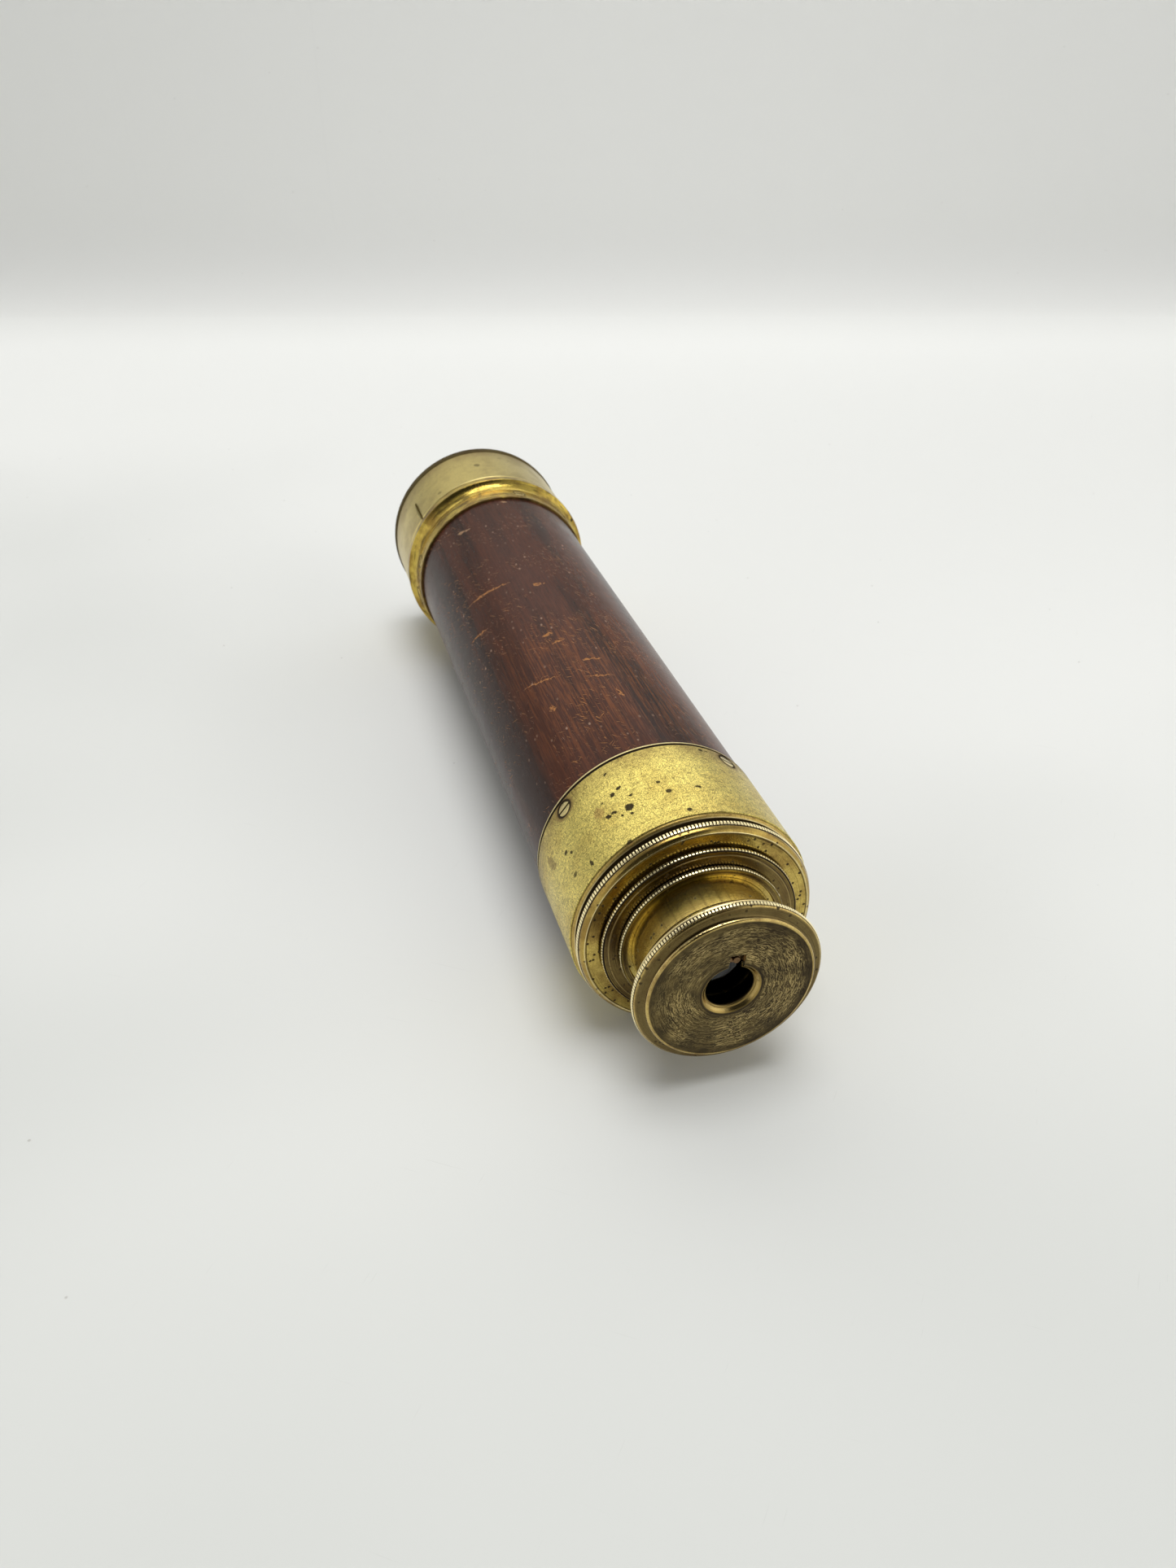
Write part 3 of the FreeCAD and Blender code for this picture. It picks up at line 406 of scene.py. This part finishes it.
def collar_brass(node):
    """A collar: golden-brown polished faces, with dark turned lines, a knurl with painted
    highlights, and painted shade behind the knurl.
    """
    p = Brass("collar_brass_" + node, (0.72, 0.54, 0.14), (0.38, 0.25, 0.065), 0.13, 0.40, 0.64)
    face, crest = box_mm(node)[1].x, crest_radius(node)
    p.web(0.40)
    p.pits(1.1, 0.16)
    p.rings(0.55)
    if node == "barrel_collar":
        barrel_collar_face(p, face, crest)
    else:
        draw_collar_face(p, crest)
    p.knurl(node, *KNURLS[node])
    # Black behind the knurl, where the collar meets the part behind it: painted shade of that gap
    behind = face + KNURLS[node][0]
    corner = p.step(p.x, behind + 0.05, behind - 0.05)
    p.grime_and_shade(p.times(corner, p.step(p.radius, crest - 0.6, crest - 0.3)), 0.9)
    p.grime_and_shade(p.step(p.x, behind - 0.04, behind - 0.12), 0.9)
    return p.done()


def barrel_collar_face(p, face, crest):
    """Olive rim painted as a dark reflection, a painted highlight line and a black line inside it,
    and dirt round the first draw.
    """
    # Olive-brown rim: painted dark reflection
    p.stain(p.band(p.radius, crest - 0.95, crest - 0.10, 0.2), (0.32, 0.20, 0.055), 0.50)
    by_draw = p.step(p.radius, crest - 5.45, crest - 5.75)
    p.grime_and_shade(p.times(p.step(p.x, face - 0.2, face), by_draw), 0.95)
    black_line = p.band(p.radius, crest - 1.68, crest - 1.45, 0.04)
    p.grime_and_shade(p.times(p.step(p.x, face - 0.3, face - 0.1), black_line), 0.7)
    # Painted highlight line
    p.stain(p.band(p.radius, crest - 1.38, crest - 1.14, 0.05), PAINTED_HIGHLIGHT, 0.55)


def draw_collar_face(p, crest):
    """A dark turned face with one worn line."""
    p.stain(p.step(p.radius, crest - 0.45, crest - 0.75), (0.10, 0.065, 0.03), 0.80, 0.05)
    p.rings(0.7, 0.35)
    p.stain(p.band(p.radius, crest - 1.5, crest - 1.3, 0.06), (0.5, 0.37, 0.14), 0.5)


def neck_brass():
    """The eyepiece's neck: yellow and streaked, with a swarm of black pits and dark lines."""
    p = Brass("neck_brass", (0.64, 0.49, 0.11), (0.30, 0.20, 0.06), 0.21, 0.42, 0.60)
    p.rings(0.55)
    p.web(0.35)
    patch = p.step(p.noise(p.place, scale=0.22, detail=4.0, roughness=0.6), 0.50, 0.64)
    p.stain(patch, (0.11, 0.07, 0.03), 0.75, 0.02)
    p.pits(1.3, 0.45)
    p.pits(0.7, 0.28)
    front = box_mm("eyepiece_mount")[1].x
    # Painted highlight band
    p.stain(p.band(p.x, front - 4.35, front - 3.85, 0.1), PAINTED_HIGHLIGHT, 0.4)
    return p.done()


def draw_brass():
    """The draw tubes: bright yellow brass, kept clean inside the barrel, rubbed lengthwise."""
    p = Brass("draw_brass", (0.88, 0.69, 0.20), (0.66, 0.49, 0.15), 0.17, 0.36, 0.72)
    rubbed = p.hairlines(p.arc, p.x, 0.5, 30.0, 0.5, 0.5, 21.0)
    p.stain(rubbed, TARNISH, 0.35, 0.03)
    p.rings(0.25)
    p.web(0.30)
    p.pits(0.9, 0.08)
    return p.done()


def screw_brass():
    """Bright rubbed screw heads; the slot and the rim hold dirt."""
    p = Brass("screw_brass", (0.80, 0.66, 0.30), (0.5, 0.38, 0.16), 0.24)
    p.web(0.2)
    top = crest_radius("eye_end_ferrule_screws")
    p.grime_and_shade(p.step(p.radius, top - 0.13, top - 0.23), 0.95)
    return p.done()


def shutter_brass():
    """The eye shutter: dark brown, never polished."""
    p = Brass("shutter_brass", (0.25, 0.15, 0.07), (0.12, 0.07, 0.035), 0.4)
    p.web(0.4)
    p.pits(0.9, 0.15)
    return p.done()


def inner_brass():
    """Blackened brass inside the tubes."""
    p = Paint("inner_brass")
    cloud = p.noise(p.place, scale=0.5, detail=4.0)
    p.set("Base Color", p.mix(cloud, (0.006, 0.006, 0.006), (0.02, 0.017, 0.013)))
    p.set("Metallic", 0.3)
    p.set("Roughness", p.scale(cloud, 0.5, 0.75))
    p.bump(p.noise(p.place, scale=3.0, detail=3.0), 0.2, 0.03)
    return p.material


EYE_HOLE = 6.0                      # radius in mm, at the outside of the eye hole's bevel
EYE_BORE = 5.0                      # radius in mm, at its inside


def patinated_brass():
    """The eye cap: brown-black patina on the face, golden rims with painted highlight lines, a band
    darkened as painted reflection, and a knurled edge.
    """
    p = Brass("patinated_brass", (0.70, 0.52, 0.18), (0.36, 0.23, 0.08), 0.15)
    rear, front = box_mm("eye_cap")[0].x, box_mm("eye_cap")[1].x
    p.rings(0.5)
    p.web(0.35)
    p.pits(0.9, 0.14)
    # Dark band in front of the knurl: painted dark reflection
    p.stain(p.band(p.x, front - 1.50, front - 0.72, 0.12), (0.085, 0.060, 0.024), 0.85)
    p.grime_and_shade(p.band(p.x, front - 0.92, front - 0.70, 0.04), 0.95)
    # Painted highlight line on the rim
    p.stain(p.band(p.x, front - 0.62, front - 0.34, 0.05), PAINTED_HIGHLIGHT, 0.35)
    p.knurl("eye_cap", -2.95, -1.75)
    p.grime_and_shade(p.band(p.x, front - 3.22, front - 2.97, 0.03), 0.9)
    # Painted highlight line behind the knurl
    p.stain(p.band(p.x, front - 3.85, front - 3.45, 0.08), PAINTED_HIGHLIGHT, 0.5)
    p.grime_and_shade(p.step(p.x, rear + 0.14, rear + 0.04), 0.8)
    rubs = eye_face(p, front)
    eye_hole(p, front)
    p.bump(rubs, 0.4, 0.02)
    return p.done()


def eye_face(p, front):
    """The flat face's patina, rubbed through in fine broken circles; returns the rubs."""
    edge = crest_radius("eye_cap") - 2.7
    face = p.times(p.step(p.x, front - 0.30, front - 0.08), p.step(p.radius, edge, edge - 0.25))
    cloud = p.step(p.noise(p.place, scale=0.22, detail=4.0), 0.38, 0.62)
    patina = p.mix(cloud, (0.052, 0.038, 0.017), (0.108, 0.078, 0.030))
    p.colour = p.mix(face, p.colour, patina)
    p.rough = p.add(p.rough, p.times(face, 0.16))
    # The face painted darker towards +Y: painted shade
    p.stain(p.times(face, p.step(p.y, -4.0, 10.0)), GRIME_AND_SHADE, 0.55)
    wave = p.times(p.add(p.noise(p.place, scale=0.5, detail=2.0), -0.5), 0.9)
    ring = p.add(p.radius, wave)
    rubs = p.most(
        p.hairlines(ring, p.arc, 1.0, 2.4, 0.17, 0.62, 1.0),
        p.hairlines(ring, p.arc, 16.0, 1.3, 0.15, 0.56, 2.0),
        p.hairlines(ring, p.arc, -22.0, 1.1, 0.15, 0.54, 3.0),
    )
    patchy = p.step(p.noise(p.place, scale=0.16, detail=3.0), 0.40, 0.62)
    middle = p.times(p.step(p.radius, EYE_HOLE + 0.3, EYE_HOLE + 1.6),
                     p.step(p.radius, edge - 0.6, edge - 2.6))
    rubs = p.times(rubs, face, p.scale(patchy, 0.30, 1.0), p.scale(middle, 0.12, 1.0))
    p.stain(rubs, (0.60, 0.45, 0.18), 0.75, -0.05)
    circles = p.hairlines(ring, p.arc, 0.2, 14.0, 0.24, 0.50, 8.0)
    p.stain(p.times(circles, face), GRIME_AND_SHADE, 0.7)
    p.grime_and_shade(p.times(face, p.band(p.radius, EYE_HOLE + 0.35, EYE_HOLE + 0.6, 0.06)), 0.6)
    return rubs


def eye_hole(p, front):
    """The bevel round the eye hole is worn to brass; inside, the hole is black."""
    bevel = p.times(
        p.step(p.radius, EYE_HOLE + 0.22, EYE_HOLE + 0.05), p.step(p.x, front - 1.5, front - 1.2))
    p.stain(bevel, (0.42, 0.29, 0.09), 0.80)
    p.grime_and_shade(p.step(p.radius, EYE_BORE + 0.15, EYE_BORE - 0.02), 0.9)


# ------------------------------------------------------------------ wood and glass

WOOD_NICKS = [                      # place along the axis, angle, length, width, turn
    (-118, -38, 13.0, 0.6, 70), (-105, -55, 7.0, 0.4, 60), (-109, -8, 3.0, 1.2, 65),
    (-83, -18, 2.5, 1.1, 80), (-78, -15, 3.0, 0.6, 85), (-66, -34, 9.5, 0.5, 65),
    (-66, -4, 4.0, 0.5, 75), (-58, -5, 6.5, 0.4, 70), (-54, -35, 2.2, 1.2, 30),
    (-49, 0, 4.0, 0.4, 10),
]
PALE_CHIPS = [(-157, -33, 4.2, 1.3, 60), (-166, 1, 2.0, 1.0, 80)]


def mahogany():
    """Old polished wood: broad dark bands, orange nicks, pale specks and satin varnish, with orange
    fibres and stronger nicks painted as sheen on the lit top.
    """
    p = Paint("mahogany")
    radius = crest_radius("wood_barrel")
    fibres = p.noise(p.vector(p.times(p.x, 0.10), p.times(p.y, 2.4), p.times(p.z, 2.4)),
                     detail=3.0, roughness=0.65)
    pores = p.step(p.noise(p.vector(p.times(p.x, 0.4), p.times(p.y, 3.6), p.times(p.z, 3.6)),
                           detail=1.0), 0.60, 0.74)
    # The lit top of the barrel near the eye end; its warm fibres and stronger nicks are painted
    # sheen
    lit_end = p.times(p.band(p.x, -88.0, -34.0, 14.0), p.band(p.angle, -0.75, 0.55, 0.35))
    crowded = p.step(p.noise(p.place, scale=0.07, detail=3.0), 0.42, 0.56)
    torn = p.step(p.noise(p.place, scale=1.4, detail=3.0), 0.30, 0.48)
    nicks = p.most(
        p.times(scattered_nicks(p), crowded, p.scale(lit_end, 0.55, 1.0)),
        p.times(p.marks(WOOD_NICKS, radius, 0.9), torn),
    )
    chips = p.marks(PALE_CHIPS, radius, 0.8)
    colour = wood_figure(p, fibres, pores, lit_end)
    colour = p.mix(p.times(nicks, 0.80), colour, (0.46, 0.20, 0.062))
    colour = p.mix(p.times(chips, torn, 0.8), colour, (0.40, 0.24, 0.13))
    specks = p.times(pale_specks(p), p.scale(crowded, 0.3, 0.7))
    p.set("Base Color", p.mix(specks, colour, (0.36, 0.22, 0.15)))
    rough = p.scale(p.noise(p.place, scale=0.35, detail=4.0), 0.18, 0.30)
    p.set("Roughness", p.add(rough, p.times(p.most(nicks, chips), 0.3)))
    p.set("Specular IOR Level", 0.08)
    p.bump(p.add(p.times(fibres, 0.6), p.times(p.most(pores, nicks), -1.0)), 0.35, 0.05)
    p.bump(p.noise(p.place, scale=0.12, detail=2.0), 0.25, 0.4)
    return p.material


def wood_figure(p, fibres, pores, lit_end):
    """The wood's colour before it was knocked about, with orange fibres painted as sheen on the lit
    top.
    """
    bands = p.noise(p.vector(p.times(p.x, 0.006), p.times(p.y, 0.085), p.times(p.z, 0.085)),
                    detail=2.5, distortion=0.4)
    streaks = p.noise(p.vector(p.times(p.x, 0.03), p.times(p.y, 0.5), p.times(p.z, 0.5)),
                      detail=4.0, roughness=0.6)
    figure = p.add(p.times(bands, 0.72), p.times(streaks, 0.28))
    colour = p.mix(p.step(figure, 0.42, 0.58), (0.029, 0.012, 0.008), (0.080, 0.025, 0.013))
    # Warm orange fibres on the lit top: painted sheen
    painted_sheen = p.times(lit_end, p.step(fibres, 0.44, 0.66))
    colour = p.mix(p.times(painted_sheen, 0.55), colour, (0.22, 0.070, 0.018))
    colour = p.mix(p.times(p.step(fibres, 0.60, 0.42), 0.32), colour, (0.020, 0.010, 0.007))
    return p.mix(p.times(pores, 0.45), colour, (0.010, 0.006, 0.005))


def scattered_nicks(p):
    """Small cuts through the varnish, in four directions."""
    return p.most(
        p.hairlines(p.x, p.arc, 34.0, 3.4, 0.38, 0.27, 11.0),
        p.hairlines(p.x, p.arc, 62.0, 4.2, 0.34, 0.31, 12.0),
        p.hairlines(p.x, p.arc, -40.0, 2.6, 0.34, 0.22, 14.0),
        p.hairlines(p.arc, p.x, 10.0, 2.4, 0.36, 0.20, 15.0),
    )


def pale_specks(p):
    """Grains and short dashes of dust and filler in the varnish."""
    distance, chance = p.cells(p.vector(p.times(p.x, 0.55), p.y, p.z), scale=0.62)
    dust = p.times(p.step(distance, 0.22, 0.12), p.step(chance, 0.80, 0.84))
    dashes = p.hairlines(p.arc, p.x, 4.0, 2.6, 0.22, 0.18, 17.0)
    return p.most(dust, dashes)


def lens_glass():
    """Clear crown glass with a faint dusty film."""
    p = Paint("lens_glass")
    film = p.noise(p.place, scale=0.8, detail=4.0)
    p.set("Base Color", p.mix(film, (0.80, 0.90, 0.90), (0.90, 0.96, 0.96)))
    p.set("Transmission Weight", 1.0)
    p.set("IOR", 1.45)
    p.set("Specular IOR Level", 0.08)
    p.set("Roughness", p.scale(film, 0.01, 0.06))
    return p.material


def paint_nodes():
    """Gives every CAD node the material of its slot."""
    makers = {
        "mahogany": mahogany, "ferrule_brass": ferrule_brass, "objective_brass": objective_brass,
        "pale_brass": pale_brass, "draw_brass": draw_brass, "patinated_brass": patinated_brass,
        "screw_brass": screw_brass, "inner_brass": inner_brass, "shutter_brass": shutter_brass,
        "lens_glass": lens_glass,
    }
    made = {slot: make() for slot, make in makers.items()}
    for subpart in frame["record"]["subparts"]:
        name, slot = subpart["node"], subpart["material_slot"]
        node = NODES[name]
        node.data.materials.clear()
        if name in KNURLS:
            node.data.materials.append(collar_brass(name))
        elif name == "eyepiece_mount":
            node.data.materials.append(neck_brass())
        else:
            node.data.materials.append(made[slot])


# ------------------------------------------------------------------ softened edges

SOFT_EDGES = {                      # node: width of its rounded edges, in mm
    "eye_end_ferrule": 0.06, "objective_ferrule": 0.08, "barrel_collar": 0.06,
    "first_draw_collar": 0.05, "second_draw_collar": 0.05, "eyepiece_mount": 0.06,
    "eye_cap": 0.07, "objective_cap": 0.07, "eye_end_ferrule_screws": 0.05,
    "objective_ferrule_screws": 0.05,
}


def soften(node, width):
    """Rounds a node's sharp edges a little, so that they catch the light."""
    mesh = node.data
    if "custom_normal" in mesh.attributes:
        mesh.attributes.remove(mesh.attributes["custom_normal"])
    mesh.shade_smooth()
    weld = node.modifiers.new("weld", "WELD")
    weld.merge_threshold = 0.002 * MM
    bevel = node.modifiers.new("bevel", "BEVEL")
    bevel.width = width * MM
    bevel.segments = 2
    bevel.limit_method = "ANGLE"
    bevel.angle_limit = math.radians(32)
    weighted = node.modifiers.new("weighted", "WEIGHTED_NORMAL")
    weighted.keep_sharp = True


# ------------------------------------------------------------------ stage, light and camera

CAMERA_PLACE = Vector((0.1774, -0.0752, 0.1670))
CAMERA_WAY = Vector((-0.7851, 0.2344, -0.5733))
CAMERA_ROLL = 0.18              # degrees
CAMERA_LENS = 28.02             # mm, on a 36 mm long side
FOCUS_AHEAD = 12.0              # mm from the barrel collar's face to the sharpest plane


def floor_slope():
    """The floor touches the eye-end ferrule and the objective flange, so it is a little tilted."""
    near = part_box("eye_end_ferrule")
    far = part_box("objective_ferrule")
    return (near[0].z - far[0].z) / (near[1].x - far[0].x)


def make_floor():
    """A pale sheet that lies flat under the object and sweeps up behind it."""
    heading = Vector((CAMERA_WAY.x, CAMERA_WAY.y, 0)).normalized()
    side = Vector((-heading.y, heading.x, 0))
    bend_start, bend_radius, wall_height, half_width, near_end = 0.80, 0.05, 0.35, 2.2, -2.0
    rows = [(near_end, 0.0), (0.0, 0.0), (bend_start, 0.0)]
    bend_steps = 16
    for step in range(1, bend_steps + 1):
        turn = math.radians(90 * step / bend_steps)
        rows.append((bend_start + bend_radius * math.sin(turn), bend_radius * (1 - math.cos(turn))))
    rows.append((bend_start + bend_radius, wall_height))
    slope = floor_slope()
    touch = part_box("eye_end_ferrule")[0].z
    vertices = []
    for run, rise in rows:
        for across in (-half_width, half_width):
            point = Vector((CAMERA_PLACE.x, CAMERA_PLACE.y, 0)) + heading * run + side * across
            point.z = touch + point.x * slope + rise
            vertices.append(point)
    faces = [(2 * i, 2 * i + 1, 2 * i + 3, 2 * i + 2) for i in range(len(rows) - 1)]
    mesh = bpy.data.meshes.new("floor")
    mesh.from_pydata(vertices, [], faces)
    mesh.shade_smooth()
    floor = bpy.data.objects.new("floor", mesh)
    bpy.context.scene.collection.objects.link(floor)
    mesh.materials.append(floor_paper())


def floor_paper():
    """Pale matt sheet with faint scuffs and a little dust; its colour is painted lighter towards
    the back and towards +Y, and its back part glows as painted light.
    """
    p = Paint("floor_paper")
    # Painted light: the colour grows lighter towards the back and towards +Y
    painted_light_slant = p.add(p.add(p.times(p.y, 0.0016), p.times(p.x, -0.0012)), 0.04)
    wide = p.add(p.noise(p.place, scale=0.004, detail=2.0), painted_light_slant)
    colour = p.mix(p.step(wide, 0.15, 0.90), (0.61, 0.622, 0.60), (0.81, 0.815, 0.795))
    scuffs = p.most(
        p.hairlines(p.x, p.y, 35.0, 22.0, 0.35, 0.05, 1.0),
        p.hairlines(p.x, p.y, -50.0, 9.0, 0.35, 0.05, 2.0),
    )
    colour = p.mix(p.times(scuffs, 0.16), colour, (0.42, 0.42, 0.40))
    distance, chance = p.cells(p.place, scale=0.11)
    dust = p.times(p.step(distance, 0.05, 0.02), p.step(chance, 0.78, 0.80))
    p.set("Base Color", p.mix(p.times(dust, 0.45), colour, (0.30, 0.28, 0.25)))
    p.set("Roughness", 0.6)
    p.set("Specular IOR Level", 0.2)
    # Painted glow: the back of the sheet emits light, most towards +Y
    p.set("Emission Color", (1.0, 1.0, 0.985))
    across = p.scale(p.step(p.y, -350.0, 350.0), 0.60, 1.45)
    p.set("Emission Strength", p.times(p.step(p.x, -180.0, -740.0), across, 0.13))
    return p.material


SUN_POWER = 1.62                # watts per square metre
SUN_WIDTH = 36                  # degrees: a wide soft source straight overhead
WORLD_STRENGTH = 1.12
BACKDROP_LEVEL = 0.66           # of the plain tent where the camera sees past the sheet


def make_world():
    """A white tent: bright low walls, brightest behind, and dark in front around the viewer."""
    world = bpy.data.worlds.new("studio")
    world.use_nodes = True
    n = Nodes(world.node_tree)
    way = n.node("ShaderNodeTexCoord").outputs["Generated"]
    x, y, z = n.split(way)

    def lobe(direction, wide, narrow):
        facing = n.node("ShaderNodeVectorMath", operation="DOT_PRODUCT")
        n.feed(facing.inputs[0], way)
        facing.inputs[1].default_value = Vector(direction).normalized()
        return n.step(facing.outputs["Value"], wide, narrow)

    walls = n.scale(n.step(z, 0.35, 0.75), 0.80, 0.30)
    sides = n.scale(n.step(y, -0.9, 0.9), 1.0, 1.40)
    behind = n.times(lobe((-0.80, 0.05, 0.60), 0.70, 0.97), 0.75)
    front = n.scale(lobe((0.80, -0.20, 0.57), 0.70, 0.90), 1.0, 0.04)
    background = world.node_tree.nodes["Background"]
    background.inputs["Color"].default_value = (1.0, 1.0, 0.975, 1.0)
    level = n.times(n.add(n.times(walls, sides), behind), front, WORLD_STRENGTH)
    seen = n.node("ShaderNodeLightPath").outputs["Is Camera Ray"]
    plain = n.times(seen, BACKDROP_LEVEL)
    n.feed(background.inputs["Strength"], n.add(plain, n.times(n.invert(seen), level)))
    bpy.context.scene.world = world


def make_lights():
    data = bpy.data.lights.new("overhead", "SUN")
    data.energy = SUN_POWER
    data.angle = math.radians(SUN_WIDTH)
    light = bpy.data.objects.new("overhead", data)
    light.rotation_euler = (math.radians(-2), math.radians(-1), 0)
    bpy.context.scene.collection.objects.link(light)
    make_world()


def make_camera():
    data = bpy.data.cameras.new("camera")
    data.lens = CAMERA_LENS
    data.sensor_fit = "AUTO"
    data.sensor_width = 36.0
    data.clip_start = 0.01
    data.clip_end = 20.0
    sharp = bpy.data.objects.new("sharp_point", None)
    collar = box_mm("barrel_collar")[1]
    sharp.location = ((collar.x + FOCUS_AHEAD) * MM, 0, collar.z * MM)
    bpy.context.scene.collection.objects.link(sharp)
    data.dof.use_dof = True
    data.dof.focus_object = sharp
    data.dof.aperture_fstop = 48.0
    camera = bpy.data.objects.new("camera", data)
    camera.location = CAMERA_PLACE
    camera.rotation_mode = "QUATERNION"
    aim = CAMERA_WAY.to_track_quat("-Z", "Y")
    roll = Matrix.Rotation(math.radians(CAMERA_ROLL), 3, "Z").to_quaternion()
    camera.rotation_quaternion = aim @ roll
    bpy.context.scene.collection.objects.link(camera)
    bpy.context.scene.camera = camera


paint_nodes()
for name, width in SOFT_EDGES.items():
    soften(NODES[name], width)
make_floor()
make_lights()
make_camera()
bpy.context.scene.view_settings.view_transform = "Standard"
